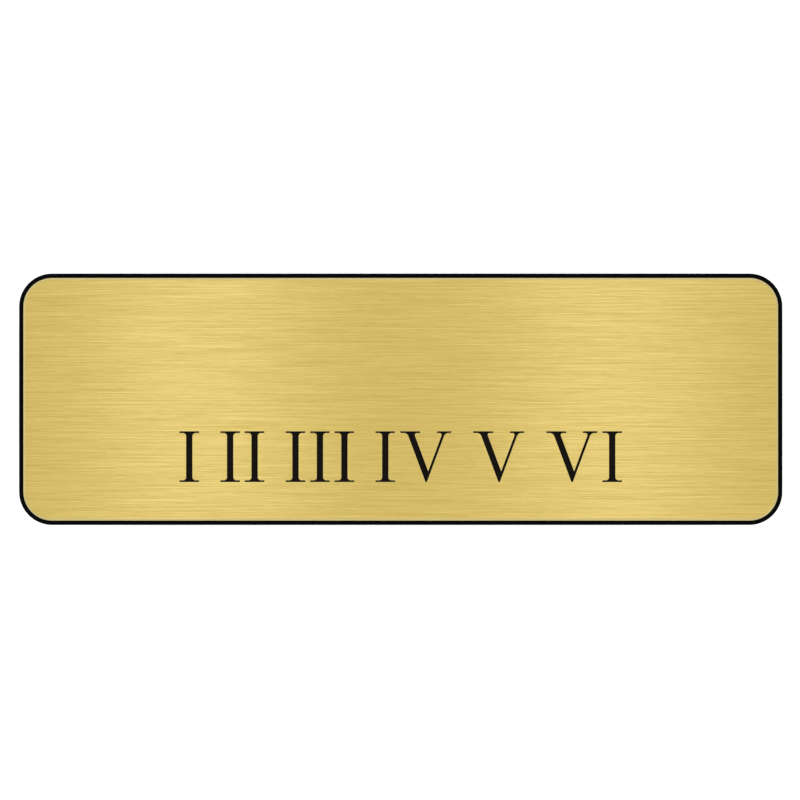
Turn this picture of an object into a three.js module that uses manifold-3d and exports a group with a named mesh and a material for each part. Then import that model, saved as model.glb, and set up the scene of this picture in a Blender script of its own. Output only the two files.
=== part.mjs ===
// A name badge, 3 inches by 1 inch: a two-layer plate with a bar pin on its back.
// The plate is a thin brushed gold cap on a black core. The core's bevelled edge stands out past the cap
// as a narrow black border, and a row of plain numerals is cut through the cap, so the core shows in it.
// Units are millimetres. The badge lies on its pin, face up: X runs along it, +Y is the top of its face,
// and the origin is on the surface that it lies on, under the middle of the plate.
import * as THREE from "three";
import { mergeVertices } from "three/addons/utils/BufferGeometryUtils.js";
import Module from "manifold-3d";

// Plate
const plateLength = 76.2;
const plateWidth = 25.1;
const cornerRadius = 3.3;
const coreThickness = 1.45;
const capThickness = 0.15;
const borderWidth = 0.45; // run of the core's bevel, which shows as the black border
const borderDrop = 0.45; // height of the same bevel
const capBevel = 0.15; // run of the bevel on the cap's own edge

// Numerals, cut through the cap and a little way into the core
const numerals = ["I", "II", "III", "IV", "V", "VI"];
const numeralHeight = 5.05;
const baselineHeight = 4.3; // above the plate's lower edge
const stemWidth = 0.62; // thick strokes
const hairlineWidth = 0.24; // thin strokes
const serifThickness = 0.16;
const serifOverhang = 0.66; // past each side of a thick stroke
const hairlineOverhang = 0.58; // past each side of a thin stroke
const bracketRadius = 0.3; // where a stroke meets its serif
const veeSpread = 3.9; // between the outer edges of a V's arms, at the top
const veePoint = 0.14; // flat at the foot of a V
const letterGap = 0.5;
const numeralGap = 2.14;
const engravingDepth = 0.1; // of the numerals in the core, below the cap

// Bar pin
const pinReach = 6.4; // from the plate's back to the surface it lies on
const sheetThickness = 0.65;
const stripLength = 34;
const stripWidth = 6;
const stripCorner = 2;
const endInset = 4; // from each end of the strip to the hinge's and the catch's middle
const earLength = 3.8;
const earCorner = 1;
const catchLength = 3.6;
const catchBend = 1.2; // outer radius of its folds
const catchReach = 1.7; // from the pin's centre line to the outside of the catch's lip
const lipHeight = 2.4;
const wireDiameter = 0.8;
const wireClearance = 0.05; // between the wire and the floor of the catch
const coilTurns = 3;
const rivetDiameter = 1;
const rivetHeadDiameter = 1.8;
const rivetHeadHeight = 0.25;
const pointLength = 3;
const pointDiameter = 0.1;
const pointOverhang = 0.8; // past the catch

// Facets: an arc in an outline has two for each of its steps
const cornerSteps = 16; // each corner of the plate and the strip
const bracketSteps = 4; // each bracket of a serif
const foldSteps = 6; // each bend of the catch and each corner of an ear
const wireSides = 16;
const roundSides = 28; // the coil, the rivet and its heads

// Worked out from the above
const capBottom = pinReach + coreThickness; // height above the surface that the badge lies on
const stripUnderside = pinReach - sheetThickness;
const coilDiameter = rivetDiameter + 2 * wireDiameter; // the wire is wound on the rivet
const coilLength = coilTurns * wireDiameter;
const hingeX = -stripLength / 2 + endInset;
const catchX = stripLength / 2 - endInset;
const wireHeight = sheetThickness + wireClearance + wireDiameter / 2;
const wireY = (coilLength - wireDiameter) / 2; // the wire leaves the coil's last turn
const coilHeight = wireHeight + (coilDiameter - wireDiameter) / 2;
const overcut = 0.5; // how far a cutting solid runs past what it cuts

const wasm = await Module();
wasm.setup();

// A closed geometry as a solid that can be joined and cut.
function solid(geometry) {
  const bare = geometry.clone();
  bare.deleteAttribute("normal");
  bare.deleteAttribute("uv");
  const merged = mergeVertices(bare, 1e-4);
  return new wasm.Manifold(
    new wasm.Mesh({
      numProp: 3,
      vertProperties: merged.attributes.position.array,
      triVerts: new Uint32Array(merged.index.array),
    }),
  );
}

// The geometry of a solid, with flat facets.
function geometryOf(made) {
  const { vertProperties, triVerts } = made.getMesh();
  const flat = new THREE.BufferGeometry()
    .setAttribute("position", new THREE.BufferAttribute(vertProperties, 3))
    .setIndex(new THREE.BufferAttribute(triVerts, 1))
    .toNonIndexed();
  flat.computeVertexNormals();
  return flat;
}

function joined(geometries) {
  return geometries.map(solid).reduce((sum, one) => sum.add(one));
}

function named(name, geometry, material, height = 0) {
  const mesh = new THREE.Mesh(geometry, material);
  mesh.name = name;
  mesh.position.z = height;
  return mesh;
}

// A rounded rectangle about the origin.
function roundedRectangle(length, width, radius) {
  const [x, y] = [length / 2 - radius, width / 2 - radius];
  return new THREE.Shape()
    .absarc(x, y, radius, 0, Math.PI / 2)
    .absarc(-x, y, radius, Math.PI / 2, Math.PI)
    .absarc(-x, -y, radius, Math.PI, 1.5 * Math.PI)
    .absarc(x, -y, radius, 1.5 * Math.PI, 2 * Math.PI)
    .closePath();
}

// A solid through flat sections with the same number of corners, each {outline, z}, from the lowest up.
function loft(sections) {
  const rings = sections.map(({ outline }) => outline.getPoints(cornerSteps).slice(0, -1));
  const count = rings[0].length;
  const corners = rings.flatMap((ring, level) => ring.flatMap((p) => [p.x, p.y, sections[level].z]));
  const faces = [];
  for (let level = 1; level < rings.length; level++)
    for (let i = 0; i < count; i++) {
      const next = (i + 1) % count;
      const [low, high] = [(level - 1) * count, level * count];
      faces.push(low + i, low + next, high + next, low + i, high + next, high + i);
    }
  const top = (rings.length - 1) * count;
  for (const [a, b, c] of THREE.ShapeUtils.triangulateShape(rings[0], [])) {
    faces.push(c, b, a);
    faces.push(top + a, top + b, top + c);
  }
  return new THREE.BufferGeometry()
    .setAttribute("position", new THREE.Float32BufferAttribute(corners, 3))
    .setIndex(faces);
}

// A prism of an outline drawn in X and Y, from height z up.
function prism(outline, depth, z = 0, curveSegments = cornerSteps) {
  return new THREE.ExtrudeGeometry(outline, { depth, curveSegments, bevelEnabled: false }).translate(0, 0, z);
}

// The same drawn in X and Z and centred on y, or drawn in Y and Z and centred on x.
function prismAlongY(outline, depth, y) {
  const made = prism(outline, depth, -depth / 2, foldSteps);
  return made.rotateX(Math.PI / 2).translate(0, y, 0);
}

function prismAlongX(outline, depth, x) {
  const made = prism(outline, depth, -depth / 2, foldSteps);
  const turned = new THREE.Matrix4().makeBasis(
    new THREE.Vector3(0, 1, 0),
    new THREE.Vector3(0, 0, 1),
    new THREE.Vector3(1, 0, 0),
  );
  return made.applyMatrix4(turned).translate(x, 0, 0);
}

// A serif with a bracket on each side of a stroke: its flat edge lies on y 0 and it grows upwards.
function serif(strokeWidth, overhang) {
  const [reach, neck] = [strokeWidth / 2 + overhang, strokeWidth / 2];
  const top = serifThickness + bracketRadius;
  return new THREE.Shape()
    .moveTo(-reach, 0)
    .lineTo(reach, 0)
    .lineTo(reach, serifThickness)
    .absarc(neck + bracketRadius, top, bracketRadius, -Math.PI / 2, -Math.PI, true)
    .absarc(-neck - bracketRadius, top, bracketRadius, 0, -Math.PI / 2, true)
    .lineTo(-reach, serifThickness)
    .closePath();
}

function footSerif(strokeWidth, overhang, x, depth) {
  return prism(serif(strokeWidth, overhang), depth, 0, bracketSteps).translate(x, 0, 0);
}

// A serif at a stroke's head, sheared to follow a slanted stroke. slope is the stroke's run in x for each unit
// of height.
function headSerif(strokeWidth, overhang, x, depth, slope = 0) {
  const made = prism(serif(strokeWidth, overhang), depth, 0, bracketSteps).rotateZ(Math.PI);
  made.applyMatrix4(new THREE.Matrix4().makeShear(0, 0, slope, 0, 0, 0));
  return made.translate(x, numeralHeight, 0);
}

// Each letter is {width, parts}: parts are prisms that overlap, and its left end is at x 0.
function letterI(depth) {
  const width = stemWidth + 2 * serifOverhang;
  const [left, right] = [(width - stemWidth) / 2, (width + stemWidth) / 2];
  const stem = new THREE.Shape()
    .moveTo(left, 0)
    .lineTo(right, 0)
    .lineTo(right, numeralHeight)
    .lineTo(left, numeralHeight)
    .closePath();
  const serifs = [footSerif, headSerif].map((made) => made(stemWidth, serifOverhang, width / 2, depth));
  return { width, parts: [prism(stem, depth), ...serifs] };
}

function letterV(depth) {
  const slope = (veeSpread - veePoint) / 2 / numeralHeight;
  const stretch = Math.hypot(1, slope); // a slanted stroke is this much wider along x
  const [thick, thin] = [stemWidth * stretch, hairlineWidth * stretch];
  const left = serifOverhang;
  const right = left + veeSpread;
  const point = (left + right) / 2;
  const crotchDepth = (veeSpread - thick - thin) / (2 * slope);
  const arms = new THREE.Shape()
    .moveTo(point - veePoint / 2, 0)
    .lineTo(point + veePoint / 2, 0)
    .lineTo(right, numeralHeight)
    .lineTo(right - thin, numeralHeight)
    .lineTo(left + thick + crotchDepth * slope, numeralHeight - crotchDepth)
    .lineTo(left + thick, numeralHeight)
    .lineTo(left, numeralHeight)
    .closePath();
  const parts = [
    prism(arms, depth),
    headSerif(thick, serifOverhang, left + thick / 2, depth, -slope),
    headSerif(thin, hairlineOverhang, right - thin / 2, depth, slope),
  ];
  return { width: right + hairlineOverhang, parts };
}

const letters = { I: letterI, V: letterV };

// The row of numerals as one cutting solid, in its place across the plate and from height z up.
function numeralCutter(z, depth) {
  const parts = [];
  const baseline = -plateWidth / 2 + baselineHeight;
  let x = 0;
  for (const [place, numeral] of numerals.entries()) {
    x += place > 0 ? numeralGap : 0;
    for (const [index, letter] of [...numeral].entries()) {
      x += index > 0 ? letterGap : 0;
      const { width, parts: drawn } = letters[letter](depth);
      parts.push(...drawn.map((part) => part.translate(x, 0, 0)));
      x += width;
    }
  }
  return joined(parts).translate([-x / 2, baseline, z]);
}

// The plate's outline taken in by the same distance all round.
function plateOutline(inset) {
  return roundedRectangle(plateLength - 2 * inset, plateWidth - 2 * inset, cornerRadius - inset);
}

// Black core: straight sides with a bevel at the top, and the floor of the numerals.
function corePlate() {
  const plate = loft([
    { outline: plateOutline(0), z: 0 },
    { outline: plateOutline(0), z: coreThickness - borderDrop },
    { outline: plateOutline(borderWidth), z: coreThickness },
  ]);
  const cutter = numeralCutter(coreThickness - engravingDepth, engravingDepth + overcut);
  return geometryOf(solid(plate).subtract(cutter));
}

// Gold cap: the core's bevel runs on over its edge, and the numerals are cut right through.
function faceCap() {
  const cap = loft([
    { outline: plateOutline(borderWidth), z: 0 },
    { outline: plateOutline(borderWidth + capBevel), z: capThickness },
  ]);
  return geometryOf(solid(cap).subtract(numeralCutter(-overcut, capThickness + 2 * overcut)));
}

// One of the hinge's ears, folded down from the strip, with a flat foot.
function ear(y) {
  const half = earLength / 2;
  const top = stripUnderside + sheetThickness / 2;
  const outline = new THREE.Shape()
    .moveTo(hingeX + half, top)
    .lineTo(hingeX - half, top)
    .absarc(hingeX - half + earCorner, earCorner, earCorner, Math.PI, 1.5 * Math.PI)
    .absarc(hingeX + half - earCorner, earCorner, earCorner, -Math.PI / 2, 0)
    .closePath();
  return prismAlongY(outline, sheetThickness, y);
}

// The catch: folded down from the strip's edge, under the wire and up again in a lip.
function catchHook() {
  const [edge, lip, inner] = [stripWidth / 2, -catchReach, catchBend - sheetThickness];
  const top = stripUnderside + sheetThickness / 2;
  const tip = lipHeight - sheetThickness / 2;
  const outline = new THREE.Shape()
    .moveTo(edge - sheetThickness, top)
    .lineTo(edge, top)
    .absarc(edge - catchBend, catchBend, catchBend, 0, -Math.PI / 2, true)
    .absarc(lip + catchBend, catchBend, catchBend, -Math.PI / 2, -Math.PI, true)
    .absarc(lip + sheetThickness / 2, tip, sheetThickness / 2, Math.PI, 0, true)
    .absarc(lip + catchBend, catchBend, inner, Math.PI, 1.5 * Math.PI)
    .absarc(edge - catchBend, catchBend, inner, -Math.PI / 2, 0)
    .closePath();
  return prismAlongX(outline, catchLength, catchX);
}

function roundAlongY(diameter, length, y = 0) {
  const made = new THREE.CylinderGeometry(diameter / 2, diameter / 2, length, roundSides);
  return made.translate(hingeX, y, coilHeight);
}

// The wire, from under the middle of its coil to its point.
function wire() {
  const shankEnd = catchX + catchLength / 2 + pointOverhang - pointLength;
  const [shank, radius] = [shankEnd - hingeX, wireDiameter / 2];
  const straight = new THREE.CylinderGeometry(radius, radius, shank, wireSides).translate(0, shank / 2, 0);
  const point = new THREE.CylinderGeometry(pointDiameter / 2, radius, pointLength, wireSides);
  point.translate(0, shank + pointLength / 2, 0);
  return [straight, point].map((part) => part.rotateZ(-Math.PI / 2).translate(hingeX, wireY, wireHeight));
}

// Bar pin in one piece: strip, hinge ears, riveted coil, wire and catch.
function barPin() {
  const strip = prism(roundedRectangle(stripLength, stripWidth, stripCorner), sheetThickness, stripUnderside);
  const earCentre = (stripWidth - sheetThickness) / 2;
  return geometryOf(
    joined([
      strip,
      ear(earCentre),
      ear(-earCentre),
      roundAlongY(coilDiameter, coilLength),
      roundAlongY(rivetDiameter, stripWidth),
      roundAlongY(rivetHeadDiameter, rivetHeadHeight + sheetThickness / 2, rivetHeadCentre()),
      roundAlongY(rivetHeadDiameter, rivetHeadHeight + sheetThickness / 2, -rivetHeadCentre()),
      ...wire(),
      catchHook(),
    ]),
  );
}

// A rivet head starts inside its ear and stands out past it.
function rivetHeadCentre() {
  return stripWidth / 2 + (rivetHeadHeight - sheetThickness / 2) / 2;
}

// Materials
const gold = new THREE.MeshStandardMaterial({ color: 0xdcc26e, roughness: 0.38, metalness: 1 });
const black = new THREE.MeshStandardMaterial({ color: 0x0c0b0a, roughness: 0.5, metalness: 0 });
const steel = new THREE.MeshStandardMaterial({ color: 0xc8cacb, roughness: 0.24, metalness: 1 });

const badge = new THREE.Group();
badge.add(named("core_plate", corePlate(), black, pinReach));
badge.add(named("face_cap", faceCap(), gold, capBottom));
badge.add(named("bar_pin", barPin(), steel));

export default badge;
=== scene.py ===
"""Looks of the name badge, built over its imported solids. Shapes are drawn in millimetres, and mesh_of turns
them to metres. What materials, lights and the camera say is in metres, unless MM stands beside it.

X runs along the badge in its reading direction, +Y is the top of its face and +Z comes out of its face."""

import math

import bmesh
import bpy
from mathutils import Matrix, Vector

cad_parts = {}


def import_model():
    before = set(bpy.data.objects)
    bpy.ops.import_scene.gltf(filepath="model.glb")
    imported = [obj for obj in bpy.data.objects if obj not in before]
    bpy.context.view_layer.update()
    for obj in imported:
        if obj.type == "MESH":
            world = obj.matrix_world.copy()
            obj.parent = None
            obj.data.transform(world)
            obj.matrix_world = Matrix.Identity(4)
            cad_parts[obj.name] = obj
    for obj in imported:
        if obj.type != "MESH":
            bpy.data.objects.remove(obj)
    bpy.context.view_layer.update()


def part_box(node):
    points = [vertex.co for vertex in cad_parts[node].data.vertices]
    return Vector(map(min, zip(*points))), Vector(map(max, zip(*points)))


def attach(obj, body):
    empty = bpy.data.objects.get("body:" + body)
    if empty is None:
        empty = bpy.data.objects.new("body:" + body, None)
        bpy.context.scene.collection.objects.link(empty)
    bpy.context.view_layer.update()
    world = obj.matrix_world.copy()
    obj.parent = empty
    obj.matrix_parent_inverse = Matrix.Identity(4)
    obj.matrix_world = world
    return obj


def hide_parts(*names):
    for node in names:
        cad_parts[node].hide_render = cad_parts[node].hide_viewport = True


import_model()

MM = 0.001


def span(cad_node, axis):
    """A CAD node's lowest and highest coordinate along an axis, in the frame."""
    return [round(corner[axis] / MM, 3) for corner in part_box(cad_node)]


# Plate: its length, width and heights are the frame's
(LEFT, RIGHT), (BOTTOM, TOP), (BACK, CORE_TOP) = [span("core_plate", axis) for axis in range(3)]
PLATE_LENGTH, PLATE_WIDTH = RIGHT - LEFT, TOP - BOTTOM
FACE = span("face_cap", 2)[1]
CORNER_RADIUS = 3.3
BEVEL = 0.45  # run and drop of the core's bevel, which shows as the black border
CAP_BEVEL = FACE - CORE_TOP  # the same slope goes on over the cap's edge

# Numerals
NUMERALS = ["I", "II", "III", "IV", "V", "VI"]
NUMERAL_HEIGHT = 5.05
BASELINE = BOTTOM + 4.3  # where the row stands, above the plate's lower edge
STEM, HAIRLINE = 0.62, 0.24  # thick and thin strokes
SERIF = 0.16  # a serif's thickness
SERIF_OVERHANG, HAIRLINE_OVERHANG = 0.66, 0.58  # of a serif past each side of a thick or a thin stroke
BRACKET = 0.3  # radius where a stroke meets its serif
VEE_SPREAD, VEE_POINT = 3.9, 0.14  # a V's width at the top and at its point
LETTER_GAP, NUMERAL_GAP = 0.5, 2.14
ENGRAVING_DEPTH = 0.1  # in the core
STROKE_CHAMFER = 0.02  # round the floor of an engraved stroke

# Bar pin
SHEET = 0.65  # thickness of its sheet metal
STRIP_LENGTH, STRIP_WIDTH, STRIP_CORNER = 34, 6, 2
HINGE_X, CATCH_X = -13, 13
EAR_LENGTH, EAR_CORNER = 3.8, 1.0
CATCH_LENGTH, CATCH_BEND = 3.6, 1.2
CATCH_REACH = 1.7  # from the pin's centre line to the outside of the lip
LIP_HEIGHT = 2.4
FOLD_BEND = 0.9  # outer radius where the ears and the catch fold down from the strip
FOLD_RELIEF = 0.08  # gap at each end of a fold
WIRE = 0.8  # diameter
WIRE_HEIGHT, WIRE_Y = 1.1, 0.8  # middle of its long leg
RIVET, RIVET_HEAD = 1.0, 1.8  # diameters
RIVET_HEAD_HEIGHT = 0.25
RIVET_SEAT = 0.02  # how far a rivet head starts inside its ear
COIL_RADIUS = (RIVET + WIRE) / 2  # at the middle of the wire
COIL_HEIGHT = WIRE_HEIGHT + COIL_RADIUS
COIL_TURNS = 2.25  # from the wire's short leg to its long one
LEG_GAP = 0.05  # between the short leg's end and the strip
LEG_RISES = (1.2, 0.4)  # two points of the short leg, above the coil's middle
POINT_LENGTH, POINT_OVERHANG = 3.0, 0.8  # the wire's point, and how far it goes past the catch
POINT_CURVE = 1.4  # above 1, the point gets thin faster towards its tip
TIP_RADIUS = 0.02

# Radii of rounded edges
BACK_ROUNDING = 0.12  # between the core's back and its side
BEVEL_ROUNDING = 0.03  # between the core's side and its bevel
FACE_ROUNDING = 0.04  # between the cap's bevel and its face
STROKE_ROUNDING = 0.02  # where the numerals are cut in the face
SHEET_ROUNDING = 0.06  # on the pin's sheet metal

# Facets
CORNER_STEPS, STRIP_CORNER_STEPS, BRACKET_STEPS, FOLD_STEPS = 24, 12, 6, 8  # along each arc
BACK_STEPS, EDGE_STEPS, SHEET_STEPS = 4, 2, 3  # across a rounded edge
COIL_STEPS, POINT_STEPS = 32, 8  # in each turn of the coil, and along the point
WIRE_SIDES, RIVET_SIDES = 20, 40
DOME_ANGLES = (0, 0.35, 0.7, 1.0, 1.3, math.pi / 2)  # from a rivet head's middle to its rim
SHARP_ANGLE = math.radians(32)  # an edge that turns further stays sharp

# Name of the map that the brushed metal's highlights follow
BRUSH_MAP = "brush"


# Outlines: lists of (x, y), counter-clockwise


def arc(x, y, radius, start, end, steps):
    """Points on an arc, both ends included. Angles are in degrees, and the arc may turn either way."""
    turns = [math.radians(start + (end - start) * i / steps) for i in range(steps + 1)]
    return [(x + radius * math.cos(t), y + radius * math.sin(t)) for t in turns]


def rounded_rectangle(length, width, radius, steps):
    x, y = length / 2 - radius, width / 2 - radius
    corners = [(x, y, 0), (-x, y, 90), (-x, -y, 180), (x, -y, 270)]
    return [p for cx, cy, turn in corners for p in arc(cx, cy, radius, turn, turn + 90, steps)]


def plate_outline(inset):
    length, width = PLATE_LENGTH - 2 * inset, PLATE_WIDTH - 2 * inset
    return rounded_rectangle(length, width, CORNER_RADIUS - inset, CORNER_STEPS)


def grown(outline, by):
    """The outline moved outwards by that distance, with mitred corners."""
    made = []
    for before, here, after in zip(outline[-1:] + outline[:-1], outline, outline[1:] + outline[:1]):
        sides = [(Vector(here) - Vector(before)).normalized(), (Vector(after) - Vector(here)).normalized()]
        first, second = (Vector((side.y, -side.x)) for side in sides)
        made.append(tuple(Vector(here) + (first + second) * by / (1 + first.dot(second))))
    return made


def head_serif(left, right, overhang, slope=0):
    """The head of a stroke, from the bracket on its right to the bracket on its left. slope is how far the
    stroke runs in x for each unit that it goes down."""
    top, under = NUMERAL_HEIGHT, NUMERAL_HEIGHT - SERIF
    points = arc(right + BRACKET, under - BRACKET, BRACKET, 180, 90, BRACKET_STEPS)
    points += [(right + overhang, under), (right + overhang, top)]
    points += [(left - overhang, top), (left - overhang, under)]
    points += arc(left - BRACKET, under - BRACKET, BRACKET, 90, 0, BRACKET_STEPS)
    return [(x + slope * (top - y), y) for x, y in points]


def letter_i():
    """(width, outline) of an I. Its left end is at x 0, and it stands on y 0."""
    left, right = SERIF_OVERHANG, SERIF_OVERHANG + STEM
    head = head_serif(left, right, SERIF_OVERHANG)
    foot = [(left + right - x, NUMERAL_HEIGHT - y) for x, y in head]
    return right + SERIF_OVERHANG, foot + head


def letter_v():
    """(width, outline) of a V in the same place. Its left arm is the thick one."""
    slope = (VEE_SPREAD - VEE_POINT) / 2 / NUMERAL_HEIGHT
    stretch = math.hypot(1, slope)  # a slanted stroke is this much wider along x
    thick, thin = STEM * stretch, HAIRLINE * stretch
    left, right = SERIF_OVERHANG, SERIF_OVERHANG + VEE_SPREAD
    point = (left + right) / 2
    crotch = (VEE_SPREAD - thick - thin) / (2 * slope)  # how far below the top the arms meet
    outline = [(point - VEE_POINT / 2, 0), (point + VEE_POINT / 2, 0)]
    outline += head_serif(right - thin, right, HAIRLINE_OVERHANG, -slope)
    outline += [(left + thick + crotch * slope, NUMERAL_HEIGHT - crotch)]
    outline += head_serif(left, left + thick, SERIF_OVERHANG, slope)
    return right + HAIRLINE_OVERHANG, outline


def numeral_outlines():
    """The row's letters in their places on the plate."""
    letters, x = [], 0
    for numeral in NUMERALS:
        for letter in numeral:
            width, outline = {"I": letter_i, "V": letter_v}[letter]()
            letters.append([(x + px, BASELINE + py) for px, py in outline])
            x += width + LETTER_GAP
        x += NUMERAL_GAP - LETTER_GAP
    middle = (x - NUMERAL_GAP) / 2
    return [[(px - middle, py) for px, py in outline] for outline in letters]


# Meshes


def ring(bm, points):
    return [bm.verts.new(p) for p in points]


def flat_ring(bm, outline, z):
    return ring(bm, [(x, y, z) for x, y in outline])


def skin(bm, rings):
    """Faces between rings that follow each other. Returns them."""
    return [
        bm.faces.new((low[i - 1], low[i], high[i], high[i - 1]))
        for low, high in zip(rings, rings[1:])
        for i in range(len(low))
    ]


def fill(bm, rings):
    """Faces over the area inside the first ring and outside the others. Returns them."""
    edges = [bm.edges.get((loop[i - 1], loop[i])) for loop in rings for i in range(len(loop))]
    made = bmesh.ops.triangle_fill(bm, use_beauty=True, use_dissolve=False, edges=edges)
    return [f for f in made["geom"] if isinstance(f, bmesh.types.BMFace)]


def mesh_of(name, bm, finishes, cad_node):
    """Makes what was drawn an object in metres, smooth but for its sharp edges. It stands for a CAD node."""
    bmesh.ops.recalc_face_normals(bm, faces=bm.faces)
    bmesh.ops.scale(bm, vec=(MM, MM, MM), verts=bm.verts)
    for face in bm.faces:
        face.smooth = True
    for edge in bm.edges:
        edge.smooth = edge.calc_face_angle(0) < SHARP_ANGLE
    # The brushed metal's highlights stretch along the map's first axis, which is the badge's Y.
    brush = bm.loops.layers.uv.new(BRUSH_MAP)
    for face in bm.faces:
        for loop in face.loops:
            x, y, z = loop.vert.co
            loop[brush].uv = (y / MM, x / MM + z / MM)
    mesh = bpy.data.meshes.new(name)
    bm.to_mesh(mesh)
    bm.free()
    for finish in finishes:
        mesh.materials.append(finish)
    piece = bpy.data.objects.new(name, mesh)
    bpy.context.scene.collection.objects.link(piece)
    piece.modifiers.new("flat faces stay flat", "WEIGHTED_NORMAL").keep_sharp = True
    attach(piece, "root")
    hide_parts(cad_node)


# Materials


def plug(target, inputs):
    """Links or sets a node's inputs: {input: output or value}."""
    for key, value in inputs.items():
        if isinstance(value, bpy.types.NodeSocket):
            target.id_data.links.new(value, target.inputs[key])
        else:
            target.inputs[key].default_value = value


def node(tree, kind, inputs=None, **properties):
    """A new node, with its inputs plugged and its properties set."""
    made = tree.nodes.new("ShaderNode" + kind)
    for key, value in properties.items():
        setattr(made, key, value)
    plug(made, inputs or {})
    return made


def material(name):
    """(material, its node tree, its shader)"""
    made = bpy.data.materials.new(name)
    made.use_nodes = True
    return made, made.node_tree, made.node_tree.nodes["Principled BSDF"]


def streaks(tree, lines, detail=2.0, roughness=0.5):
    """Noise with that many features for each metre along X, Y and Z."""
    place = node(tree, "TexCoord").outputs["Object"]
    # The turn, made after the stretch, keeps the noise's own grid from showing as bands across the streaks.
    turned = {"Vector": place, "Scale": lines, "Rotation": (0.4, 0.5, 0.6)}
    stretched = node(tree, "Mapping", turned).outputs["Vector"]
    inputs = {"Vector": stretched, "Scale": 1.0, "Detail": detail, "Roughness": roughness}
    return node(tree, "TexNoise", inputs).outputs["Fac"]


def maths(tree, operation, a, b):
    return node(tree, "Math", {0: a, 1: b}, operation=operation).outputs[0]


def mixed(tree, first, second, share):
    """That share of the first value, and the second for the rest."""
    parts = [maths(tree, "MULTIPLY", first, share), maths(tree, "MULTIPLY", second, 1 - share)]
    return maths(tree, "ADD", *parts)


def spread(tree, value, low, high, to_low=0.0, to_high=1.0):
    """value from low to high as to_low to to_high."""
    inputs = {"Value": value, "From Min": low, "From Max": high, "To Min": to_low, "To Max": to_high}
    return node(tree, "MapRange", inputs).outputs["Result"]


def blend(tree, factor, first, second):
    """A mix of two colours, each (red, green, blue)."""
    return node(tree, "Mix", {"Factor": factor, 6: (*first, 1), 7: (*second, 1)}, data_type="RGBA").outputs[2]


def bump(tree, height, depth):
    """A normal from a height of 0 to 1, which stands for that depth."""
    return node(tree, "Bump", {"Height": height, "Distance": depth}).outputs["Normal"]


def brushed_gold():
    """Gold brushed along the badge: fine streaks of uneven length, in its colour, gloss and surface."""
    made, tree, shader = material("brushed_gold")
    dark, light = (0.558, 0.407, 0.096), (0.697, 0.528, 0.154)
    fine = streaks(tree, (650, 19000, 0), detail=1.5)
    long = streaks(tree, (120, 16000, 0), detail=1.5)
    both = mixed(tree, fine, long, 0.35)
    low, high = 0.36, 0.64  # nearly all of the noise lies between
    tangent = node(tree, "Tangent", direction_type="UV_MAP", uv_map=BRUSH_MAP)
    plug(shader, {
        "Base Color": blend(tree, spread(tree, both, low, high), dark, light),
        "Metallic": 1.0,
        "Roughness": spread(tree, both, low, high, 0.312, 0.256),
        "Anisotropic": 0.95,
        "Specular Tint": (1.0, 0.93, 0.70, 1),
        "Tangent": tangent.outputs["Tangent"],
        "Normal": bump(tree, both, 4e-6),
    })
    return made


def cut_gold_and_painted_highlight():
    """The cap's cut edge: less even than its face, and paler, which is partly the cut's own finish and partly
    a painted highlight.
    """
    made, tree, shader = material("cut_gold_and_painted_highlight")
    grain = streaks(tree, (9000, 9000, 9000), detail=3.0)
    plug(shader, {
        # Paler than the face: partly the cut's own colour, partly a painted highlight on the cap's edge and
        # the numerals' walls.
        "Base Color": blend(tree, grain, (0.57, 0.465, 0.19), (0.70, 0.60, 0.285)),
        "Metallic": 0.8,
        "Roughness": spread(tree, grain, 0.3, 0.7, 0.38, 0.55),
        "Normal": bump(tree, grain, 4e-6),
    })
    return made


def black_plastic(name, dark, light, roughness, shine, lines, depth):
    """Black engraving plastic. shine is how much it reflects, and lines and depth are its surface's."""
    made, tree, shader = material(name)
    grain = streaks(tree, lines, detail=3.0, roughness=0.6)
    cloud = streaks(tree, (160, 160, 160))
    uneven = mixed(tree, grain, cloud, 0.6)
    plug(shader, {
        "Base Color": blend(tree, grain, dark, light),
        "Roughness": spread(tree, uneven, 0.3, 0.7, roughness - 0.06, roughness + 0.08),
        "Specular IOR Level": shine,
        "Normal": bump(tree, grain, depth),
    })
    return made


def nickel(name, lines, depth):
    """Nickel plate on steel: fine scratches along the pin, and a little unevenness from plating."""
    made, tree, shader = material(name)
    scratches = streaks(tree, lines, detail=4.0, roughness=0.65)
    cloud = streaks(tree, (420, 420, 420), detail=3.0)
    uneven = mixed(tree, scratches, cloud, 0.5)
    plug(shader, {
        "Base Color": blend(tree, cloud, (0.43, 0.42, 0.405), (0.58, 0.57, 0.55)),
        "Metallic": 1.0,
        "Roughness": spread(tree, uneven, 0.35, 0.65, 0.17, 0.34),
        "Normal": bump(tree, scratches, depth),
    })
    return made


gold, gold_edge_and_painted_highlight = brushed_gold(), cut_gold_and_painted_highlight()
core_black = black_plastic(
    "core_plastic",
    dark=(0.0018, 0.0017, 0.0015),
    light=(0.0036, 0.0033, 0.0030),
    roughness=0.42,
    shine=0.13,
    lines=(6000, 6000, 6000),
    depth=6e-6,
)
milled_black = black_plastic(
    "milled_plastic",
    dark=(0.0004, 0.0003, 0.0002),
    light=(0.0009, 0.0007, 0.0005),
    roughness=0.40,
    shine=0.012,
    lines=(500, 500, 26000),
    depth=4e-6,
)
engraved_black = black_plastic(
    "engraved_plastic",
    dark=(0.0035, 0.0022, 0.0006),
    light=(0.0075, 0.0050, 0.0018),
    roughness=0.55,
    shine=0.07,
    lines=(1500, 16000, 1500),
    depth=6e-6,
)
sheet_nickel = nickel("nickel_sheet", (700, 9000, 9000), 1.4e-6)
wire_nickel = nickel("nickel_wire", (500, 2600, 2600), 0.8e-6)


# Core and cap


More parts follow.
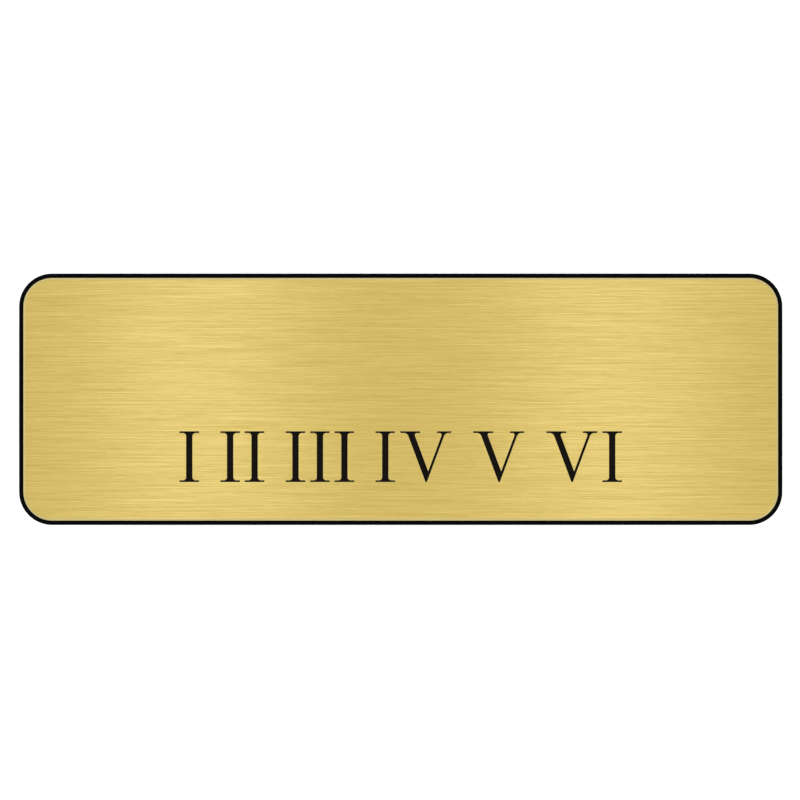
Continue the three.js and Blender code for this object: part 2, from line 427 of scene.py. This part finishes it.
def rounded_profile(before, corner, after, radius, steps):
    """Points that round the corner of a section between two of its lines. Points are (inset, height)."""
    a, b, c = Vector(before), Vector(corner), Vector(after)
    to_a, to_c = (a - b).normalized(), (c - b).normalized()
    half = to_a.angle(to_c) / 2
    start, end = b + to_a * radius / math.tan(half), b + to_c * radius / math.tan(half)
    centre = b + (to_a + to_c).normalized() * radius / math.sin(half)
    spokes = [(start - centre).slerp(end - centre, i / steps) for i in range(steps + 1)]
    return [tuple(centre + spoke * radius) for spoke in spokes]


def engraved_plate(name, sides, walls, through, finishes, cad_node, bevel_from):
    """A plate with the numerals cut in it. sides are (inset, height) from the back up, and walls are
    (growth, height) from the face down, to a floor or right through. The plate's bevel, from the height
    bevel_from up, has the second finish, and the numerals have the last."""
    bm = bmesh.new()
    rings = [flat_ring(bm, plate_outline(inset), z) for inset, z in sides]
    for low, high, (_, height) in zip(rings, rings[1:], sides):
        for face in skin(bm, [low, high]):
            face.material_index = 1 if height >= bevel_from else 0
    tops, backs, cut_faces = [rings[-1]], [rings[0]], []
    for outline in numeral_outlines():
        cut = [flat_ring(bm, grown(outline, by), z) for by, z in walls]
        cut_faces += skin(bm, cut)
        tops.append(cut[0])
        if through:
            backs.append(cut[-1])
        else:
            cut_faces += fill(bm, [cut[-1]])
    for face in cut_faces:
        face.material_index = len(finishes) - 1
    fill(bm, tops)
    fill(bm, backs)
    mesh_of(name, bm, finishes, cad_node)


def badge_core():
    low, high = (0, CORE_TOP - BEVEL), (BEVEL, CORE_TOP)
    stroke_floor = CORE_TOP - ENGRAVING_DEPTH
    inside = (1, BACK)  # any point of the back, further in
    sides = rounded_profile(inside, (0, BACK), low, BACK_ROUNDING, BACK_STEPS)
    sides += rounded_profile((0, BACK), low, high, BEVEL_ROUNDING, EDGE_STEPS) + [high]
    walls = [(0, CORE_TOP), (0, stroke_floor + STROKE_CHAMFER), (-STROKE_CHAMFER, stroke_floor)]
    finishes = [core_black, milled_black, engraved_black]
    bevel_from = CORE_TOP - BEVEL - 0.01  # half of the rounded edge goes with the bevel
    engraved_plate("badge_core", sides, walls, False, finishes, "core_plate", bevel_from)


def badge_face():
    low, high = (BEVEL, CORE_TOP), (BEVEL + CAP_BEVEL, FACE)
    inside = (2, FACE)  # any point of the face, further in
    sides = [low] + rounded_profile(low, high, inside, FACE_ROUNDING, EDGE_STEPS)
    beside = (1, FACE)  # any point of the face beside a stroke
    walls = rounded_profile(beside, (0, FACE), (0, CORE_TOP), STROKE_ROUNDING, EDGE_STEPS) + [(0, CORE_TOP)]
    # The cap's edge and the numerals' walls take the paler finish, whose paleness is partly a painted
    # highlight.
    engraved_plate("badge_face", sides, walls, True, [gold, gold_edge_and_painted_highlight], "face_cap", CORE_TOP)


# Bar pin


def quarter_round(radius, steps):
    """(inset, rise) of an edge's rounding, from the end inwards."""
    turns = [math.pi / 2 * i / steps for i in range(steps + 1)]
    return [(radius * (1 - math.sin(t)), radius * (1 - math.cos(t))) for t in turns]


def area_of(outline):
    return sum(x0 * y1 - x1 * y0 for (x0, y0), (x1, y1) in zip(outline, outline[1:] + outline[:1])) / 2


def swept(bm, outline, low, high, place):
    """A prism of an outline between two heights, with rounded edges. place(x, y, height) gives the point of
    the badge where a point of the prism goes."""
    if area_of(outline) < 0:
        outline = outline[::-1]
    edge = quarter_round(SHEET_ROUNDING, SHEET_STEPS)
    levels = [(inset, low + rise) for inset, rise in edge]
    levels += [(inset, high - rise) for inset, rise in reversed(edge)]
    rings = [ring(bm, [place(x, y, height) for x, y in grown(outline, -inset)]) for inset, height in levels]
    skin(bm, rings)
    fill(bm, [rings[0]])
    fill(bm, [rings[-1]])


def around(sides):
    """The angles of a round body's sides."""
    return [2 * math.pi * k / sides for k in range(sides)]


def tube(bm, path, radii, up):
    """The wire: round, along a path that never runs along up, with its own radius at each point."""
    rings = []
    for i, (here, radius) in enumerate(zip(path, radii)):
        ahead = Vector(path[min(i + 1, len(path) - 1)]) - Vector(path[max(i - 1, 0)])
        ahead.normalize()
        across = ahead.cross(Vector(up)).normalized()
        other = across.cross(ahead)
        spokes = [across * math.cos(t) + other * math.sin(t) for t in around(WIRE_SIDES)]
        rings.append(ring(bm, [Vector(here) + spoke * radius for spoke in spokes]))
    skin(bm, rings)
    bm.faces.new(rings[0])
    bm.faces.new(rings[-1])


def lathe(bm, profile, x, z):
    """The rivet: turned about a line along Y. profile is (radius, y), and starts and ends on the line."""
    rings = []
    for radius, y in profile[1:-1]:
        points = [(x + radius * math.cos(t), y, z + radius * math.sin(t)) for t in around(RIVET_SIDES)]
        rings.append(ring(bm, points))
    skin(bm, rings)
    for (_, y), loop in ((profile[0], rings[0]), (profile[-1], rings[-1])):
        tip = bm.verts.new((x, y, z))
        for i in range(RIVET_SIDES):
            bm.faces.new((loop[i - 1], loop[i], tip))


def notch(x, length, side):
    """A notch's corners, in the order in which the strip's outline meets them. side is 1 for its top edge
    and -1 for its bottom edge."""
    reach, edge, bottom = length / 2 + FOLD_RELIEF, STRIP_WIDTH / 2, STRIP_WIDTH / 2 - FOLD_BEND
    corners = [(reach, edge), (reach, bottom), (-reach, bottom), (-reach, edge)]
    return [(x + side * px, side * py) for px, py in corners]


def strip_outline():
    """The strip, notched where the catch and the ears fold down from it."""
    outline = rounded_rectangle(STRIP_LENGTH, STRIP_WIDTH, STRIP_CORNER, STRIP_CORNER_STEPS)
    top = notch(CATCH_X, CATCH_LENGTH, 1) + notch(HINGE_X, EAR_LENGTH, 1)
    bottom = notch(HINGE_X, EAR_LENGTH, -1)
    corner = len(outline) // 4
    return outline[:corner] + top + outline[corner:3 * corner] + bottom + outline[3 * corner:]


def fold(side, down):
    """A sheet folded down from the strip, as an outline of (y, z): its outer face, its lower end and its
    inner face. side is 1 or -1, and down is the lower end's outline from the outer face to the inner."""
    y, z, inner = STRIP_WIDTH / 2 - FOLD_BEND, BACK - FOLD_BEND, FOLD_BEND - SHEET
    outline = arc(y, z, FOLD_BEND, 90, 0, FOLD_STEPS) + down + arc(y, z, inner, 0, 90, FOLD_STEPS)
    return [(side * py, pz) for py, pz in outline]


def ear(bm, side):
    """An ear: its lower corners are round, so its length grows with the height there."""
    outer, inner = STRIP_WIDTH / 2, STRIP_WIDTH / 2 - SHEET
    turns = [math.pi / 2 * i / FOLD_STEPS for i in range(FOLD_STEPS, -1, -1)]
    heights = [EAR_CORNER * (1 - math.cos(t)) for t in turns]
    down = [(outer, z) for z in heights] + [(inner, z) for z in reversed(heights)]

    def place(y, z, along):
        short = EAR_CORNER - math.sqrt(max(0.0, EAR_CORNER**2 - max(0.0, EAR_CORNER - z) ** 2))
        return (HINGE_X + along * (1 - 2 * short / EAR_LENGTH), y, z)

    swept(bm, fold(side, down), -EAR_LENGTH / 2, EAR_LENGTH / 2, place)


def catch(bm):
    """The catch: under the wire's end and up again in a lip with a round edge."""
    outer, inner, lip = CATCH_BEND, CATCH_BEND - SHEET, SHEET / 2
    near, far = STRIP_WIDTH / 2 - CATCH_BEND, CATCH_BEND - CATCH_REACH
    down = arc(near, CATCH_BEND, outer, 0, -90, FOLD_STEPS)
    down += arc(far, CATCH_BEND, outer, -90, -180, FOLD_STEPS)
    down += arc(lip - CATCH_REACH, LIP_HEIGHT - lip, lip, 180, 0, FOLD_STEPS)
    down += arc(far, CATCH_BEND, inner, 180, 270, FOLD_STEPS)
    down += arc(near, CATCH_BEND, inner, -90, 0, FOLD_STEPS)
    half = CATCH_LENGTH / 2
    swept(bm, fold(1, down), -half, half, lambda y, z, along: (CATCH_X + along, y, z))


def pin_sheet():
    """The sheet metal: strip, ears and catch."""
    bm = bmesh.new()
    swept(bm, strip_outline(), BACK - SHEET, BACK, lambda x, y, z: (x, y, z))
    ear(bm, 1)
    ear(bm, -1)
    catch(bm)
    mesh_of("pin_sheet", bm, [sheet_nickel], "bar_pin")


def coil_path():
    """The wire's short leg, which bears on the strip, and its turns round the rivet."""
    leg_heights = [BACK - SHEET - LEG_GAP] + [COIL_HEIGHT + rise for rise in LEG_RISES]
    path = [(HINGE_X - COIL_RADIUS, WIRE_Y - COIL_TURNS * WIRE, z) for z in leg_heights]
    steps = int(COIL_TURNS * COIL_STEPS)
    for i in range(steps + 1):
        turn = 2 * math.pi * COIL_TURNS * (i / steps - 1)
        x = HINGE_X + COIL_RADIUS * math.sin(turn)
        y = WIRE_Y + turn / (2 * math.pi) * WIRE
        path.append((x, y, COIL_HEIGHT - COIL_RADIUS * math.cos(turn)))
    return path


def pin_wire():
    """The wire: its coil, its long straight leg and its point."""
    shank = CATCH_X + CATCH_LENGTH / 2 + POINT_OVERHANG - POINT_LENGTH
    leg = [HINGE_X + 1, HINGE_X + 6, 0, shank - 4]  # a few points along the straight leg
    path = coil_path() + [(x, WIRE_Y, WIRE_HEIGHT) for x in leg]
    radii = [WIRE / 2] * len(path)
    for i in range(POINT_STEPS + 1):
        share = i / POINT_STEPS
        path.append((shank + POINT_LENGTH * share, WIRE_Y, WIRE_HEIGHT))
        radii.append(WIRE / 2 * (1 - share**POINT_CURVE) + TIP_RADIUS)
    bm = bmesh.new()
    tube(bm, path, radii, up=(0, 1, 0))
    mesh_of("pin_wire", bm, [wire_nickel], "bar_pin")


def pin_rivet():
    """The rivet in the coil, with a domed head outside each ear."""
    head, shaft, end = RIVET_HEAD / 2, RIVET / 2, STRIP_WIDTH / 2
    half = [(head * math.sin(t), end + RIVET_HEAD_HEIGHT * math.cos(t)) for t in DOME_ANGLES]
    half += [(head, end - RIVET_SEAT), (shaft, end - RIVET_SEAT)]
    bm = bmesh.new()
    lathe(bm, half + [(r, -y) for r, y in reversed(half)], HINGE_X, COIL_HEIGHT)
    mesh_of("pin_rivet", bm, [wire_nickel], "bar_pin")


# Stage
HORIZON, ZENITH = 0.55, 1.06  # strength of the dome
FLOOR_SIZE, FLOOR_GREY, FLOOR_GLOW = 16, 0.88, 0.55
WHITE, BLUE, AMBER = (1.0, 1.0, 1.0), (0.5, 0.57, 1.0), (1.0, 0.84, 0.5)
BAND_HEIGHT, BAND_WIDTH, BAND_LENGTH = 0.16, 0.020, 0.7  # of a strip light
SIDE_DISTANCE, SIDE_WIDTH, SIDE_LENGTH = 0.24, 0.045, 0.09  # of a side light
PHOTO_WIDTH = 79.82 * MM  # what the photo takes in at the face
PHOTO_MIDDLE = (-0.072 * MM, -0.073 * MM)  # where its middle is on the face
FACE_MIDDLE = Vector((0, 0, FACE * MM))


def world():
    """A pale dome, brighter overhead than at the horizon."""
    made = bpy.data.worlds.new("studio")
    made.use_nodes = True
    tree = made.node_tree
    height = node(tree, "SeparateXYZ", {0: node(tree, "TexCoord").outputs["Generated"]}).outputs["Z"]
    strength = spread(tree, height, 0.0, 1.0, HORIZON, ZENITH)
    plug(tree.nodes["Background"], {"Color": (*WHITE, 1), "Strength": strength})
    bpy.context.scene.world = made


def floor():
    """A pale floor that glows a little, so that it is as white as the photo's background."""
    made, _, shader = material("floor")
    plug(shader, {
        "Base Color": (FLOOR_GREY, FLOOR_GREY, FLOOR_GREY, 1),
        "Roughness": 0.9,
        "Emission Color": (*WHITE, 1),
        "Emission Strength": FLOOR_GLOW,
    })
    bpy.ops.mesh.primitive_plane_add(size=FLOOR_SIZE)
    plane = bpy.context.object
    plane.name = "floor"
    plane.data.materials.append(made)


def soft_light(name, place, aim, width, length, radiance, colour):
    """An even rectangle of light at a place, turned to the point aim and unseen by the camera. Its length is
    upright, or along the badge's Y where it looks straight down."""
    light = bpy.data.lights.new(name, "AREA")
    light.shape = "RECTANGLE"
    light.color = colour
    light.size, light.size_y = width, length
    light.energy = radiance * math.pi * width * length
    lamp = bpy.data.objects.new(name, light)
    lamp.location = place
    lamp.rotation_euler = (Vector(place) - Vector(aim)).to_track_quat("Z", "Y").to_euler()
    lamp.visible_camera = False
    bpy.context.scene.collection.objects.link(lamp)


def strip_light(name, x, radiance):
    """A long light over the badge, along its Y and bluer than the dome. It makes a pale band on the face."""
    soft_light(name, (x, 0, BAND_HEIGHT), (x, 0, 0), BAND_WIDTH, BAND_LENGTH, radiance, BLUE)


def side_light(name, azimuth, elevation, radiance, colour=WHITE):
    """A low light beside the badge, which a view from the other side sees mirrored in the face. Azimuth 0 is
    in front of the badge's lower edge, and 90 at its right end."""
    turn, rise = math.radians(azimuth), math.radians(elevation)
    way = Vector((math.sin(turn) * math.cos(rise), -math.cos(turn) * math.cos(rise), math.sin(rise)))
    place = FACE_MIDDLE + way * SIDE_DISTANCE
    soft_light(name, place, FACE_MIDDLE, SIDE_WIDTH, SIDE_LENGTH, radiance, colour)


def camera():
    """Straight down on the face, from as far as the lens needs to take in the photo's width."""
    lens = bpy.data.cameras.new("camera")
    lens.lens, lens.sensor_width = 500, 36
    lens.clip_start, lens.clip_end = 0.05, 20
    view = bpy.data.objects.new("camera", lens)
    view.location = (*PHOTO_MIDDLE, FACE * MM + PHOTO_WIDTH * lens.lens / lens.sensor_width)
    bpy.context.scene.collection.objects.link(view)
    bpy.context.scene.camera = view


badge_core()
badge_face()
pin_sheet()
pin_wire()
pin_rivet()

world()
floor()
strip_light("strip_left", -0.0233, 0.80)
strip_light("strip_right", 0.0243, 0.76)
side_light("light_back_left", 225, 27, 1.3)
side_light("light_front_right", 45, 18, 1.25)
side_light("light_left", 270, 5, 0.6, AMBER)
camera()
bpy.context.scene.view_settings.view_transform = "Standard"
